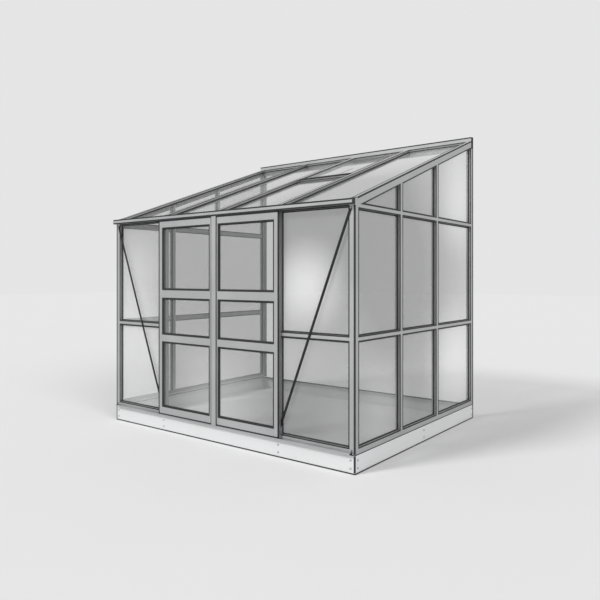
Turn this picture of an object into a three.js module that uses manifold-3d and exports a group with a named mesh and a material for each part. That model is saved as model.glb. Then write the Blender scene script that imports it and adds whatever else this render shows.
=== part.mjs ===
// A lean-to greenhouse: an aluminium frame that stands against a house wall. The front, both
// gables and the roof are glazed, a pair of doors slides apart along the front, and one roof
// vent opens from the ridge. Millimetres, +Z up. X runs along the wall and +Y points at it.

import * as THREE from 'three';
import { mergeVertices } from 'three/addons/utils/BufferGeometryUtils.js';
import loadManifold from 'manifold-3d';

const wasm = await loadManifold();
wasm.setup();

// Overall sizes
const bayPitch = 622; // centre to centre of the bars that hold 610 mm glass
const frontBayCount = 4;
const gableBayCount = 2; // bays of bayPitch in each gable, in front of the wall bay
const wallBayPitch = 742; // the bay beside the wall holds 730 mm glass
const postLeg = 50;
const baseHeight = 130;
const eavesHeight = 1808;
const roofPitchDegrees = 20;
const midRailHeight = 885; // to the middle of the rail
const tieDrop = 42; // from the eaves to the middle of the gable tie

// Clearances
const seatGap = 0.3; // between two pieces that rest on each other
const glassGap = 0.5; // the gasket between glass and metal
const runningGap = 0.4; // round a bead or pin that turns
const overrun = 200; // how far a cutting solid runs past what it cuts
const mergeTolerance = 1e-4; // points closer than this are one point

// Facets of round pieces
const wheelSides = 24;
const beadSides = 20;
const pinSides = 16;
const holeSides = 12;
const channelArcSteps = 22;

// Glass and sections shared by all walls
const glassThickness = 4;
const skin = 2.5; // wall of an extruded section
const capDepth = 22; // from the outer face of a bar to the glass
const capWidth = 45;
const webWidth = 11;
const boltChannelWidth = 24;
const boltChannelDepth = 18;
const boltSlot = 8;
const railHeight = 38;

// Base and sills
const baseFlangeTop = 40;
const baseFlangeFoot = 30;
const baseSkin = 3;
const sillHeight = 40;
const sillLedgeHeight = 21;
const sillLedgeDepth = 48;

// Posts
const wallFlange = 60; // reaches inward from the gable to take the wall bolts
const wallFlangeSkin = 3;

// Eaves beam
const eavesBeamHeight = 46;
const eavesBeamDepth = 60;
const gutterDepth = 26;
const gutterBack = 20;
const glassPocket = 16; // how far the front glass reaches up into the beam
const eavesGlassStart = 14; // the roof glass drips into the gutter from here
const eavesBarStart = 11;

// Roof
const rafterDepth = 60;
const rafterWebDepth = 38;
const ridgeDepth = 40;
const ridgeRise = 23; // ridge top above the roof surface at the wall
const ridgeHeight = 107; // of the beam itself

// Braces
const braceWidth = 20;
const braceThickness = 3;
const braceInset = 19; // of each bolted end from the outer edge of its post
const braceTopDrop = 12; // below the eaves beam
const braceFootRise = 14; // above the sill

// Doors
const leafOverlap = 28; // how far a leaf covers its post past the middle of the post
const meetingGap = 3;
const leafBackGap = 6;
const leafThickness = 24;
const stileWidth = 50;
const leafFootRise = 15; // from the base to the foot of a leaf
const leafTopDrop = 42; // from the eaves to the top of a leaf
const bottomRailHeight = 70;
const topRailHeight = 66;
const lowerRailHeight = 71;
const lowerRailShare = 0.3945; // of the leaf's height, up to the rail's middle
const upperRailHeight = 78;
const upperRailShare = 0.622;
const leafGlassSetback = 12; // from the front of the leaf to its glass
const leafGlassGroove = 12;
const lipWidth = 56; // the cover strip on the left leaf's meeting stile
const lipReach = 30; // how far that strip passes the middle
const lipThickness = 4;

// Door track, wheels and guide
const trackHeight = 38;
const trackDepth = 36;
const trackSkin = 2;
const trackLip = 10;
const wheelRadius = 11;
const wheelWidth = 7;
const wheelRim = 1.5;
const axleRadius = 3;
const axleCollarRadius = 5;
const axleCollarLength = 2.4;
const hangerInset = 110; // from the edge of the leaf
const hangerWidth = 30;
const hangerThickness = 3;
const hangerRise = 9; // above the axle
const guideDepth = 27;
const guideLipHeight = 12;
const guideBackHeight = 30;
const guideSkin = 2.5;
const finThickness = 2;
const finDrop = 9;
const finInset = 12;
const finSetback = 14; // of the fin's front from the leaf's front

// Roof vent, which lies between the caps of two roof bars
const ventBay = 2; // counted from the left, starting at 0
const ventLength = 1000;
const ventSideGap = 2;
const ventFrameWidth = 35;
const ventDepth = 20;
const ventRebateWidth = 10;
const ventRebateDepth = 8;
const beadRadius = 5;
const beadDrop = 6; // of the bead's middle below the roof surface
const beadToRail = 12;
const beadArm = 3;
const hingeChannelSkin = 2.6;
const hingeSetback = 12; // from the ridge beam to the bead's middle
const hingeFootDepth = 7;
const hingeOpeningFoot = -32; // degrees from the down-slope direction
const hingeOpeningTop = 66;
const ventSillDepth = 40;
const ventSillHeight = 18;
const ventSillUpstand = 5;
const ventSillInset = 27; // from the vent's lower edge to the sill's upper side

// Vent stay
const stayLength = 430;
const stayWidth = 16;
const stayThickness = 3;
const stayHoleCount = 5;
const stayHoleRadius = 3.5;
const stayEndMargin = 14;
const stayPinRadius = 3;
const stayKnuckleRadius = 6;
const stayKnuckleDrop = 23; // of the pin below the underside of the vent's rebate
const stayEarWidth = 4;
const stayEarLength = 28;
const pegRadius = 2.8;
const pegLength = 7;
const pegDrop = 28; // of the peg's middle below the roof surface
const pegPlateThickness = 3;
const pegPlateWidth = 60;

// Places worked out from the sizes
const halfWidth = (frontBayCount * bayPitch + postLeg) / 2;
const depth = gableBayCount * bayPitch + wallBayPitch + postLeg;
const cornerCore = postLeg / 2 + webWidth / 2; // a corner post fills this far past the glass edge
const glassFace = capDepth + glassGap;
const glassBack = glassFace + glassThickness;
const innerFace = glassBack + glassGap;
const edgeInset = webWidth / 2 + glassGap; // from a bar's middle to the edge of its glass
const pitch = THREE.MathUtils.degToRad(roofPitchDegrees);
const tieHeight = eavesHeight - tieDrop;
const baseTop = baseHeight + seatGap;
const sillTop = baseHeight + sillHeight;
const sillLedge = baseHeight + sillLedgeHeight;
const eavesFoot = eavesHeight - eavesBeamHeight;
const ridgeFace = depth - ridgeDepth;
const ridgeTop = roofSurface(depth) + ridgeRise;
const ridgeFoot = ridgeTop - ridgeHeight;
const doorPost = bayPitch;
const leafWidth = bayPitch + leafOverlap - meetingGap / 2;
const leafCentre = (leafWidth + meetingGap) / 2;
const leafFoot = baseHeight + leafFootRise;
const leafTop = eavesHeight - leafTopDrop;
const leafBack = -leafBackGap;
const leafFront = leafBack - leafThickness;
const leafGlassFace = leafFront + leafGlassSetback;
const trackFoot = eavesHeight - trackHeight;
const trackFront = -trackDepth - seatGap;
const trackBack = -seatGap;
const wheelHeight = trackFoot + trackSkin + seatGap + wheelRadius;
const wheelBack = trackBack - trackSkin - glassGap;
const wheelFront = wheelBack - wheelWidth;
const hangerBack = wheelFront - seatGap - axleCollarLength;
const frontReach = -trackFront;

// Finishes
const aluminium = { color: 0xc9cbcc, roughness: 0.42, metalness: 0.85 };
const darkAluminium = { color: 0x3b3d3f, roughness: 0.5, metalness: 0.7 };
const paintedBase = { color: 0xd3d4d3, roughness: 0.55, metalness: 0.4 };
const nylon = { color: 0xe7e6e0, roughness: 0.6, metalness: 0 };
const clearGlass = { color: 0xb4bab9, roughness: 0.08, metalness: 0, transparent: true, opacity: 0.35 };

// Height of the roof's outer surface at a distance from the front
function roofSurface(y) {
  return eavesHeight + y * Math.tan(pitch);
}

// Height of the plane that lies a given distance under the roof surface
function underRoof(y, distance) {
  return roofSurface(y) - distance / Math.cos(pitch);
}

// Solids: each is an outline carried along a line, and booleans join and cut them
function toSolid(geometry) {
  geometry.deleteAttribute('normal');
  geometry.deleteAttribute('uv');
  const merged = mergeVertices(geometry, mergeTolerance);
  const vertProperties = new Float32Array(merged.attributes.position.array);
  const triVerts = new Uint32Array(merged.index.array);
  return new wasm.Manifold(new wasm.Mesh({ numProp: 3, vertProperties, triVerts }));
}

function toGeometry(solid) {
  const mesh = solid.getMesh();
  const geometry = new THREE.BufferGeometry();
  geometry.setAttribute('position', new THREE.BufferAttribute(mesh.vertProperties.slice(), 3));
  geometry.setIndex(new THREE.BufferAttribute(mesh.triVerts.slice(), 1));
  geometry.computeVertexNormals();
  return geometry;
}

function toPoints(outline) {
  return outline.map(([a, b]) => new THREE.Vector2(a, b));
}

function shapeOf(outline, holes) {
  const points = toPoints(outline);
  const shape = new THREE.Shape(THREE.ShapeUtils.isClockWise(points) ? points.reverse() : points);
  holes.forEach((hole) => shape.holes.push(new THREE.Path(toPoints(hole))));
  return shape;
}

function extrude(outline, holes, length, basis, origin) {
  const options = { depth: length, bevelEnabled: false };
  const geometry = new THREE.ExtrudeGeometry(shapeOf(outline, holes), options);
  const placing = new THREE.Matrix4().makeBasis(...basis).setPosition(origin);
  return toSolid(geometry.applyMatrix4(placing));
}

const unitX = new THREE.Vector3(1, 0, 0);
const unitY = new THREE.Vector3(0, 1, 0);
const unitZ = new THREE.Vector3(0, 0, 1);

// An outline in y and z, carried along x
function alongX(outline, x0, x1, holes = []) {
  const start = Math.min(x0, x1);
  return extrude(outline, holes, Math.abs(x1 - x0), [unitY, unitZ, unitX], new THREE.Vector3(start, 0, 0));
}

// An outline in x and z, carried along y
function alongY(outline, y0, y1, holes = []) {
  const back = new THREE.Vector3(0, Math.max(y0, y1), 0);
  return extrude(outline, holes, Math.abs(y1 - y0), [unitX, unitZ, unitY.clone().negate()], back);
}

// An outline in x and y, carried along z
function alongZ(outline, z0, z1, holes = []) {
  const start = Math.min(z0, z1);
  return extrude(outline, holes, Math.abs(z1 - z0), [unitX, unitY, unitZ], new THREE.Vector3(0, 0, start));
}

function rectangle(a0, b0, a1, b1) {
  return [
    [a0, b0],
    [a1, b0],
    [a1, b1],
    [a0, b1],
  ];
}

function circle(a, b, radius, sides) {
  return Array.from({ length: sides }, (_, i) => {
    const angle = (i / sides) * 2 * Math.PI;
    return [a + radius * Math.cos(angle), b + radius * Math.sin(angle)];
  });
}

function block(x0, y0, z0, x1, y1, z1) {
  return alongZ(rectangle(x0, y0, x1, y1), z0, z1);
}

function joined(solids) {
  return solids.reduce((whole, solid) => whole.add(solid));
}

function addPiece(parent, name, solid, finish) {
  const mesh = new THREE.Mesh(toGeometry(solid), new THREE.MeshStandardMaterial(finish));
  mesh.name = name;
  parent.add(mesh);
  return mesh;
}

const sides = [
  { name: 'left', sign: -1 },
  { name: 'right', sign: 1 },
];

const greenhouse = new THREE.Group();
const frame = new THREE.Group();
greenhouse.add(frame);

// Base: four folded channels, mitred at the corners, with their flanges turned inward
function baseOutline() {
  return [
    [0, 0],
    [0, baseHeight],
    [baseFlangeTop, baseHeight],
    [baseFlangeTop, baseHeight - baseSkin],
    [baseSkin, baseHeight - baseSkin],
    [baseSkin, baseSkin],
    [baseFlangeFoot, baseSkin],
    [baseFlangeFoot, 0],
  ];
}

function addBase() {
  const reach = baseFlangeTop;
  const mitreGap = seatGap / 2;
  const ends = halfWidth - mitreGap;
  const frontPlan = [
    [-ends, 0],
    [ends, 0],
    [ends - reach, reach],
    [reach - ends, reach],
  ];
  const frontMitre = alongZ(frontPlan, -overrun, baseHeight + overrun);
  const front = alongX(baseOutline(), -halfWidth, halfWidth).intersect(frontMitre);
  addPiece(frame, 'base_front', front, paintedBase);

  const backOutline = baseOutline().map(([inward, z]) => [depth - inward, z]);
  const backMitre = alongZ(frontPlan.map(([x, y]) => [x, depth - y]), -overrun, baseHeight + overrun);
  const back = alongX(backOutline, -halfWidth, halfWidth).intersect(backMitre);
  addPiece(frame, 'base_back', back, paintedBase);

  sides.forEach(({ name, sign }) => {
    const outline = baseOutline().map(([inward, z]) => [sign * (halfWidth - inward), z]);
    const plan = [
      [sign * halfWidth, mitreGap],
      [sign * halfWidth, depth - mitreGap],
      [sign * (halfWidth - reach), depth - mitreGap - reach],
      [sign * (halfWidth - reach), mitreGap + reach],
    ];
    const mitre = alongZ(plan, -overrun, baseHeight + overrun);
    addPiece(frame, `base_${name}`, alongY(outline, 0, depth).intersect(mitre), paintedBase);
  });
}

// Sills: an outer leg covers the foot of the glass, and a ledge behind it carries the glass
function sillOutline() {
  return [
    [0, baseTop],
    [sillLedgeDepth, baseTop],
    [sillLedgeDepth, sillLedge],
    [capDepth, sillLedge],
    [capDepth, sillTop],
    [0, sillTop],
  ];
}

function sillHollow() {
  return [
    [skin, baseTop + skin],
    [sillLedgeDepth - skin, baseTop + skin],
    [sillLedgeDepth - skin, sillLedge - skin],
    [capDepth - skin, sillLedge - skin],
    [capDepth - skin, sillTop - skin],
    [skin, sillTop - skin],
  ];
}

function addSills() {
  const frontEnd = halfWidth - postLeg - seatGap;
  addPiece(frame, 'sill_front', alongX(sillOutline(), -frontEnd, frontEnd, [sillHollow()]), aluminium);
  sides.forEach(({ name, sign }) => {
    const place = ([inward, z]) => [sign * (halfWidth - inward), z];
    const outline = sillOutline().map(place);
    const hollow = sillHollow().map(place);
    const sill = alongY(outline, postLeg + seatGap, depth - postLeg - seatGap, [hollow]);
    addPiece(frame, `sill_${name}`, sill, aluminium);
  });
}

// A solid that fills all the space over a plane parallel to the roof
function overRoofPlane(distance, y0, y1) {
  const top = ridgeTop + overrun;
  const outline = [
    [y0, underRoof(y0, distance)],
    [y1, underRoof(y1, distance)],
    [y1, top],
    [y0, top],
  ];
  return alongX(outline, -halfWidth - overrun, halfWidth + overrun);
}

// Corner posts: two legs cover the edges of the glass, and the core between them runs up to
// the roof, between the end of the eaves beam and the foot of the gable rafter
function cornerPostOutline() {
  return [
    [0, 0],
    [postLeg, 0],
    [postLeg, capDepth],
    [cornerCore, capDepth],
    [cornerCore, cornerCore],
    [capDepth, cornerCore],
    [capDepth, postLeg],
    [0, postLeg],
  ];
}

function cornerPostHollow() {
  return [
    [skin, skin],
    [postLeg - skin, skin],
    [postLeg - skin, capDepth - skin],
    [cornerCore - skin, capDepth - skin],
    [cornerCore - skin, cornerCore - skin],
    [capDepth - skin, cornerCore - skin],
    [capDepth - skin, postLeg - skin],
    [skin, postLeg - skin],
  ];
}

function addCornerPosts() {
  sides.forEach(({ name, sign }) => {
    const place = ([inward, y]) => [sign * (halfWidth - inward), y];
    const outline = cornerPostOutline().map(place);
    const column = alongZ(outline, baseTop, eavesHeight + overrun, [cornerPostHollow().map(place)]);
    const coreEdge = sign * (halfWidth - cornerCore);
    const innerEdge = sign * (halfWidth - postLeg - overrun);
    const overLeg = rectangle(coreEdge, -overrun, innerEdge, overrun);
    const post = column
      .subtract(overRoofPlane(0, -overrun, depth))
      .subtract(alongZ(overLeg, eavesFoot - seatGap, eavesHeight + 2 * overrun))
      .subtract(overRoofPlane(rafterDepth + seatGap, cornerCore, depth));
    addPiece(frame, `corner_post_${name}`, post, aluminium);
  });
}

// Wall posts: an outer leg covers the glass, and a wide flange lies flat on the house wall
function addWallPosts() {
  sides.forEach(({ name, sign }) => {
    const place = ([inward, fromWall]) => [sign * (halfWidth - inward), depth - fromWall];
    const outline = [
      [0, 0],
      [wallFlange, 0],
      [wallFlange, wallFlangeSkin],
      [cornerCore, wallFlangeSkin],
      [cornerCore, cornerCore],
      [capDepth, cornerCore],
      [capDepth, postLeg],
      [0, postLeg],
    ];
    const hollow = [
      [skin, skin],
      [cornerCore - skin, skin],
      [cornerCore - skin, cornerCore - skin],
      [capDepth - skin, cornerCore - skin],
      [capDepth - skin, postLeg - skin],
      [skin, postLeg - skin],
    ];
    const post = alongZ(outline.map(place), baseTop, ridgeFoot - seatGap, [hollow.map(place)]);
    addPiece(frame, `wall_post_${name}`, post, aluminium);
  });
}

// Glazing bar: a cap over the glass on both sides, a web between the panes and a bolt channel
// inside. The first number is sideways and the second outward from the bar's outer face.
function glazingBarOutline(width) {
  const cap = width / 2;
  const web = webWidth / 2;
  const channel = boltChannelWidth / 2;
  const channelFoot = -innerFace - boltChannelDepth;
  const half = [
    [cap, 0],
    [cap, -capDepth],
    [cap - skin, -capDepth],
    [cap - skin, -skin],
    [web, -skin],
    [web, -innerFace],
    [channel, -innerFace],
    [channel, channelFoot],
    [boltSlot / 2, channelFoot],
    [boltSlot / 2, channelFoot + skin],
    [channel - skin, channelFoot + skin],
    [channel - skin, -innerFace - skin],
  ];
  const mirrored = half.map(([a, b]) => [-a, b]).reverse();
  return half.concat(mirrored);
}

// The space that the gable rafter and what lies over it take up, as the gable pieces see it
function rafterSpace(sign) {
  const slopeDown = new THREE.Vector3(0, -Math.cos(pitch), -Math.sin(pitch));
  const normal = new THREE.Vector3(0, -Math.sin(pitch), Math.cos(pitch));
  const outline = [
    [-overrun, overrun],
    [overrun, overrun],
    [overrun, -rafterWebDepth - seatGap],
    [capDepth + seatGap, -rafterWebDepth - seatGap],
    [capDepth + seatGap, -rafterDepth - seatGap],
    [-overrun, -rafterDepth - seatGap],
  ].map(([inward, up]) => [sign * (halfWidth - inward), up]);
  const upperEnd = new THREE.Vector3(0, depth + overrun, roofSurface(depth + overrun));
  const length = (depth + 2 * overrun) / Math.cos(pitch);
  return extrude(outline, [], length, [unitX, normal, slopeDown], upperEnd);
}

const gableBars = [
  { name: 'front', y: postLeg / 2 + bayPitch },
  { name: 'back', y: postLeg / 2 + gableBayCount * bayPitch },
];

function gableRail(sign, height, upperCut) {
  const outline = rectangle(
    sign * halfWidth,
    height - railHeight / 2,
    sign * (halfWidth - capDepth),
    height + railHeight / 2,
  );
  const hollow = rectangle(
    sign * (halfWidth - skin),
    height - railHeight / 2 + skin,
    sign * (halfWidth - capDepth + skin),
    height + railHeight / 2 - skin,
  );
  const rail = alongY(outline, postLeg + seatGap, depth - postLeg - seatGap, [hollow]);
  return upperCut ? rail.subtract(upperCut) : rail;
}

// The notch that lets a rail pass through the cap of a gable bar
function railNotch(sign, height) {
  const notchHeight = railHeight / 2 + seatGap;
  const x0 = sign * (halfWidth + overrun);
  const x1 = sign * (halfWidth - capDepth - seatGap);
  return alongX(rectangle(0, height - notchHeight, depth, height + notchHeight), x0, x1);
}

function addGables() {
  sides.forEach(({ name, sign }) => {
    const space = rafterSpace(sign);
    addPiece(frame, `gable_tie_${name}`, gableRail(sign, tieHeight, space), aluminium);
    addPiece(frame, `gable_mid_rail_${name}`, gableRail(sign, midRailHeight, null), aluminium);
    gableBars.forEach((bar) => {
      const outline = glazingBarOutline(capWidth).map(([a, out]) => [sign * (halfWidth + out), bar.y + a]);
      const solid = alongZ(outline, sillTop + seatGap, roofSurface(bar.y))
        .subtract(space)
        .subtract(railNotch(sign, tieHeight))
        .subtract(railNotch(sign, midRailHeight));
      addPiece(frame, `gable_bar_${name}_${bar.name}`, solid, aluminium);
    });
    const glass = new THREE.Group();
    frame.add(glass);
    const paneEdges = [
      { name: 'front', y0: cornerCore + glassGap, y1: gableBars[0].y - edgeInset },
      { name: 'middle', y0: gableBars[0].y + edgeInset, y1: gableBars[1].y - edgeInset },
      { name: 'back', y0: gableBars[1].y + edgeInset, y1: depth - cornerCore - glassGap },
    ];
    const underRidge = block(
      -halfWidth, ridgeFace - glassGap, ridgeFoot - glassGap, halfWidth, depth + overrun, ridgeTop + overrun,
    );
    paneEdges.forEach((pane) => {
      const topDistance = rafterWebDepth + seatGap + glassGap;
      const outline = [
        [pane.y0, sillLedge + glassGap],
        [pane.y1, sillLedge + glassGap],
        [pane.y1, underRoof(pane.y1, topDistance)],
        [pane.y0, underRoof(pane.y0, topDistance)],
      ];
      const x0 = sign * (halfWidth - glassFace);
      const x1 = sign * (halfWidth - glassBack);
      const solid = alongX(outline, x0, x1).subtract(underRidge);
      addPiece(glass, `gable_glass_${name}_${pane.name}`, solid, clearGlass);
    });
  });
}

// Front wall: door posts, a rail and a diagonal brace in each end bay, and the glass
function addFront() {
  sides.forEach(({ name, sign }) => {
    const postOutline = glazingBarOutline(postLeg).map(([a, out]) => [sign * doorPost + a, -out]);
    const post = alongZ(postOutline, sillTop + seatGap, eavesFoot - seatGap);
    addPiece(frame, `door_post_${name}`, post, aluminium);

    const railFoot = midRailHeight - railHeight / 2;
    const railTop = midRailHeight + railHeight / 2;
    const railOuter = sign * (halfWidth - postLeg - seatGap);
    const railInner = sign * (doorPost + postLeg / 2 + seatGap);
    const hollow = rectangle(skin, railFoot + skin, capDepth - skin, railTop - skin);
    const rail = alongX(rectangle(0, railFoot, capDepth, railTop), railOuter, railInner, [hollow]);
    addPiece(frame, `front_mid_rail_${name}`, rail, aluminium);

    const top = new THREE.Vector2(halfWidth - postLeg + braceInset, eavesFoot - braceTopDrop);
    const foot = new THREE.Vector2(doorPost + postLeg / 2 - braceInset, sillTop + braceFootRise);
    const lengthways = top.clone().sub(foot).normalize();
    const across = new THREE.Vector2(-lengthways.y, lengthways.x).multiplyScalar(braceWidth / 2);
    const braceOutline = [
      top.clone().add(across),
      top.clone().addScaledVector(lengthways, braceWidth / 2),
      top.clone().sub(across),
      foot.clone().sub(across),
      foot.clone().addScaledVector(lengthways, -braceWidth / 2),
      foot.clone().add(across),
    ].map((point) => [sign * point.x, point.y]);
    const brace = alongY(braceOutline, -seatGap, -seatGap - braceThickness);
    addPiece(frame, `brace_${name}`, brace, darkAluminium);

    const glassOuter = sign * (halfWidth - cornerCore - glassGap);
    const glassInner = sign * (doorPost + edgeInset);
    const glassTop = eavesFoot + glassPocket - glassGap;
    const glassOutline = rectangle(glassFace, sillLedge + glassGap, glassBack, glassTop);
    addPiece(frame, `front_glass_${name}`, alongX(glassOutline, glassOuter, glassInner), clearGlass);
  });
}

// Eaves beam: a gutter behind its front lip, and a sloping seat that carries the roof glass
function eavesSeat(y) {
  return underRoof(y, innerFace);
}

function addEavesBeam() {
  const pocketTop = eavesFoot + glassPocket;
  const gutterFoot = eavesHeight - gutterDepth;
  const outline = [
    [0, eavesFoot],
    [capDepth, eavesFoot],
    [capDepth, pocketTop],
    [eavesBeamDepth, pocketTop],
    [eavesBeamDepth, eavesSeat(eavesBeamDepth)],
    [gutterBack, eavesSeat(gutterBack)],
    [gutterBack, gutterFoot],
    [skin, gutterFoot],
    [skin, eavesHeight],
    [0, eavesHeight],
  ];
  const hollow = rectangle(skin, eavesFoot + skin, capDepth - skin, gutterFoot - skin);
  const end = halfWidth - cornerCore - seatGap;
  addPiece(frame, 'eaves_beam', alongX(outline, -end, end, [hollow]), aluminium);
}

// Ridge beam: a box section that is bolted to the house wall
function addRidgeBeam() {
  const outline = rectangle(ridgeFace, ridgeFoot, depth, ridgeTop);
  const hollow = rectangle(ridgeFace + skin, ridgeFoot + skin, depth - skin, ridgeTop - skin);
  addPiece(frame, 'ridge_beam', alongX(outline, -halfWidth, halfWidth, [hollow]), aluminium);
}

// Door track and guide: the wheels run on the inner lip of the track, and a fin under each
// leaf runs in the guide
function addDoorRails() {
  const frontInner = trackFront + trackSkin;
  const backInner = trackBack - trackSkin;
  const trackOutline = [
    [trackBack, trackFoot],
    [trackBack, eavesHeight],
    [trackFront, eavesHeight],
    [trackFront, trackFoot],
    [frontInner + trackLip, trackFoot],
    [frontInner + trackLip, trackFoot + trackSkin],
    [frontInner, trackFoot + trackSkin],
    [frontInner, eavesHeight - trackSkin],
    [backInner, eavesHeight - trackSkin],
    [backInner, trackFoot + trackSkin],
    [backInner - trackLip, trackFoot + trackSkin],
    [backInner - trackLip, trackFoot],
  ];
  addPiece(frame, 'door_track', alongX(trackOutline, -halfWidth, halfWidth), aluminium);

  const guideFront = -guideDepth;
  const guideOutline = [
    [-seatGap, baseTop],
    [-seatGap, baseTop + guideBackHeight],
    [-seatGap - guideSkin, baseTop + guideBackHeight],
    [-seatGap - guideSkin, baseTop + guideSkin],
    [guideFront + guideSkin, baseTop + guideSkin],
    [guideFront + guideSkin, baseTop + guideLipHeight],
    [guideFront, baseTop + guideLipHeight],
    [guideFront, baseTop],
  ];
  const guideEnd = halfWidth - postLeg / 2;
  addPiece(frame, 'door_guide', alongX(guideOutline, -guideEnd, guideEnd), aluminium);
}

// Doors: each leaf is one welded frame with a pane in its groove, two hangers on top that
// carry the wheels' axles, and a fin underneath
function leafFrame(sign) {
  const half = leafWidth / 2;
  const innerHalf = half - stileWidth;
  const openingFoot = leafFoot + bottomRailHeight;
  const openingTop = leafTop - topRailHeight;
  const outline = rectangle(-half, leafFoot, half, leafTop);
  const opening = rectangle(-innerHalf, openingFoot, innerHalf, openingTop);
  const groove = block(
    -innerHalf - leafGlassGroove, leafGlassFace - glassGap, openingFoot - leafGlassGroove,
    innerHalf + leafGlassGroove, leafGlassFace + glassThickness + glassGap, openingTop + leafGlassGroove,
  );
  const railBack = leafGlassFace - glassGap;
  const solids = [alongY(outline, leafFront, leafBack, [opening]).subtract(groove)];
  [
    { share: lowerRailShare, height: lowerRailHeight },
    { share: upperRailShare, height: upperRailHeight },
  ].forEach(({ share, height }) => {
    const middle = leafFoot + share * (leafTop - leafFoot);
    const foot = middle - height / 2;
    const top = middle + height / 2;
    solids.push(block(-innerHalf - skin, leafFront, foot, innerHalf + skin, railBack, top));
  });
  [-1, 1].forEach((end) => {
    const x = end * (half - hangerInset);
    const plateFront = hangerBack - hangerThickness;
    solids.push(
      block(
        x - hangerWidth / 2, plateFront, leafTop - skin,
        x + hangerWidth / 2, hangerBack, wheelHeight + hangerRise,
      ),
    );
    solids.push(alongY(circle(x, wheelHeight, axleRadius, pinSides), plateFront + skin, wheelBack));
    const collarEnd = hangerBack + axleCollarLength;
    solids.push(alongY(circle(x, wheelHeight, axleCollarRadius, pinSides), plateFront + skin, collarEnd));
  });
  const finEnd = half - finInset;
  const finFront = leafFront + finSetback;
  const finBack = finFront + finThickness;
  solids.push(block(-finEnd, finFront, leafFoot - finDrop, finEnd, finBack, leafFoot + skin));
  if (sign < 0) {
    const lipEnd = half + meetingGap / 2 + lipReach;
    const lipFront = leafFront - lipThickness - glassGap;
    solids.push(block(lipEnd - lipWidth, lipFront, leafFoot, half, leafFront + skin, leafTop));
    solids.push(block(half - skin, lipFront, leafFoot, lipEnd, leafFront - glassGap, leafTop));
  }
  return joined(solids);
}

function wheelSolid() {
  const groove = wheelRadius - wheelRim;
  const bore = axleRadius + seatGap;
  const profile = [
    [bore, 0],
    [wheelRadius, 0],
    [wheelRadius, wheelWidth],
    [groove, wheelWidth],
    [axleCollarRadius, wheelWidth - wheelRim],
    [bore, wheelWidth],
    [bore, 0],
  ].map(([radius, height]) => new THREE.Vector2(radius, height));
  return toSolid(new THREE.LatheGeometry(profile, wheelSides));
}

function addDoors() {
  sides.forEach(({ name, sign }) => {
    const leaf = new THREE.Group();
    leaf.position.x = sign * leafCentre;
    greenhouse.add(leaf);
    addPiece(leaf, `${name}_door_frame`, leafFrame(sign), aluminium);

    const glassHalf = leafWidth / 2 - stileWidth + leafGlassGroove - glassGap;
    const glassFoot = leafFoot + bottomRailHeight - leafGlassGroove + glassGap;
    const glassTop = leafTop - topRailHeight + leafGlassGroove - glassGap;
    const pane = block(
      -glassHalf, leafGlassFace, glassFoot, glassHalf, leafGlassFace + glassThickness, glassTop,
    );
    addPiece(leaf, `${name}_door_glass`, pane, clearGlass);

    [
      { name: 'outer', end: sign },
      { name: 'inner', end: -sign },
    ].forEach((place) => {
      const wheel = addPiece(leaf, `${name}_door_wheel_${place.name}`, wheelSolid(), nylon);
      wheel.position.set(place.end * (leafWidth / 2 - hangerInset), wheelFront, wheelHeight);
    });
  });
}

// Roof: a group that lies in the slope, with x along the wall, y up the slope from the front
// and z out of the roof's surface
const roof = new THREE.Group();
roof.position.z = eavesHeight;
roof.rotation.x = pitch;
greenhouse.add(roof);

// A point in the building's y and z, given up the slope and out of it
function onSlope([y, z]) {
  const rise = z - eavesHeight;
  return [y * Math.cos(pitch) + rise * Math.sin(pitch), rise * Math.cos(pitch) - y * Math.sin(pitch)];
}

// What an upright building outline in y and z takes out of a roof piece
function uprightCut(outline) {
  return alongX(outline.map(onSlope), -halfWidth - overrun, halfWidth + overrun);
}

function behind(y) {
  return uprightCut(rectangle(y, 0, depth + 4 * overrun, ridgeTop + 4 * overrun));
}

function beforeFront(y) {
  return uprightCut(rectangle(-4 * overrun, 0, y, ridgeTop + 4 * overrun));
}

const slopeLength = depth / Math.cos(pitch) + overrun;

function addRoofFrame() {
  const ridgeCut = behind(ridgeFace - seatGap);
  const overEaves = uprightCut([
    [-overrun, 0],
    [eavesBeamDepth + seatGap, 0],
    [eavesBeamDepth + seatGap, eavesSeat(eavesBeamDepth + seatGap) + seatGap],
    [-overrun, eavesSeat(-overrun) + seatGap],
  ]);
  sides.forEach(({ name, sign }) => {
    const outline = [
      [0, 0],
      [postLeg / 2 + capWidth / 2, 0],
      [postLeg / 2 + capWidth / 2, -capDepth],
      [postLeg / 2 + capWidth / 2 - skin, -capDepth],
      [postLeg / 2 + capWidth / 2 - skin, -skin],
      [cornerCore, -skin],
      [cornerCore, -rafterWebDepth],
      [capDepth, -rafterWebDepth],
      [capDepth, -rafterDepth],
      [0, -rafterDepth],
    ];
    const hollow = [
      [skin, -skin],
      [cornerCore - skin, -skin],
      [cornerCore - skin, skin - rafterWebDepth],
      [capDepth - skin, skin - rafterWebDepth],
      [capDepth - skin, skin - rafterDepth],
      [skin, skin - rafterDepth],
    ];
    const place = ([inward, out]) => [sign * (halfWidth - inward), out];
    const rafter = alongY(outline.map(place), -overrun, slopeLength, [hollow.map(place)])
      .subtract(ridgeCut)
      .subtract(beforeFront(cornerCore + seatGap));
    addPiece(roof, `gable_rafter_${name}`, rafter, aluminium);
  });
  ['left', 'middle', 'right'].forEach((name, i) => {
    const x = (i + 1 - frontBayCount / 2) * bayPitch;
    const outline = glazingBarOutline(capWidth).map(([a, out]) => [x + a, out]);
    const bar = alongY(outline, -overrun, slopeLength)
      .subtract(ridgeCut)
      .subtract(overEaves)
      .subtract(beforeFront(eavesBarStart));
    addPiece(roof, `roof_bar_${name}`, bar, aluminium);
  });
}

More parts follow.
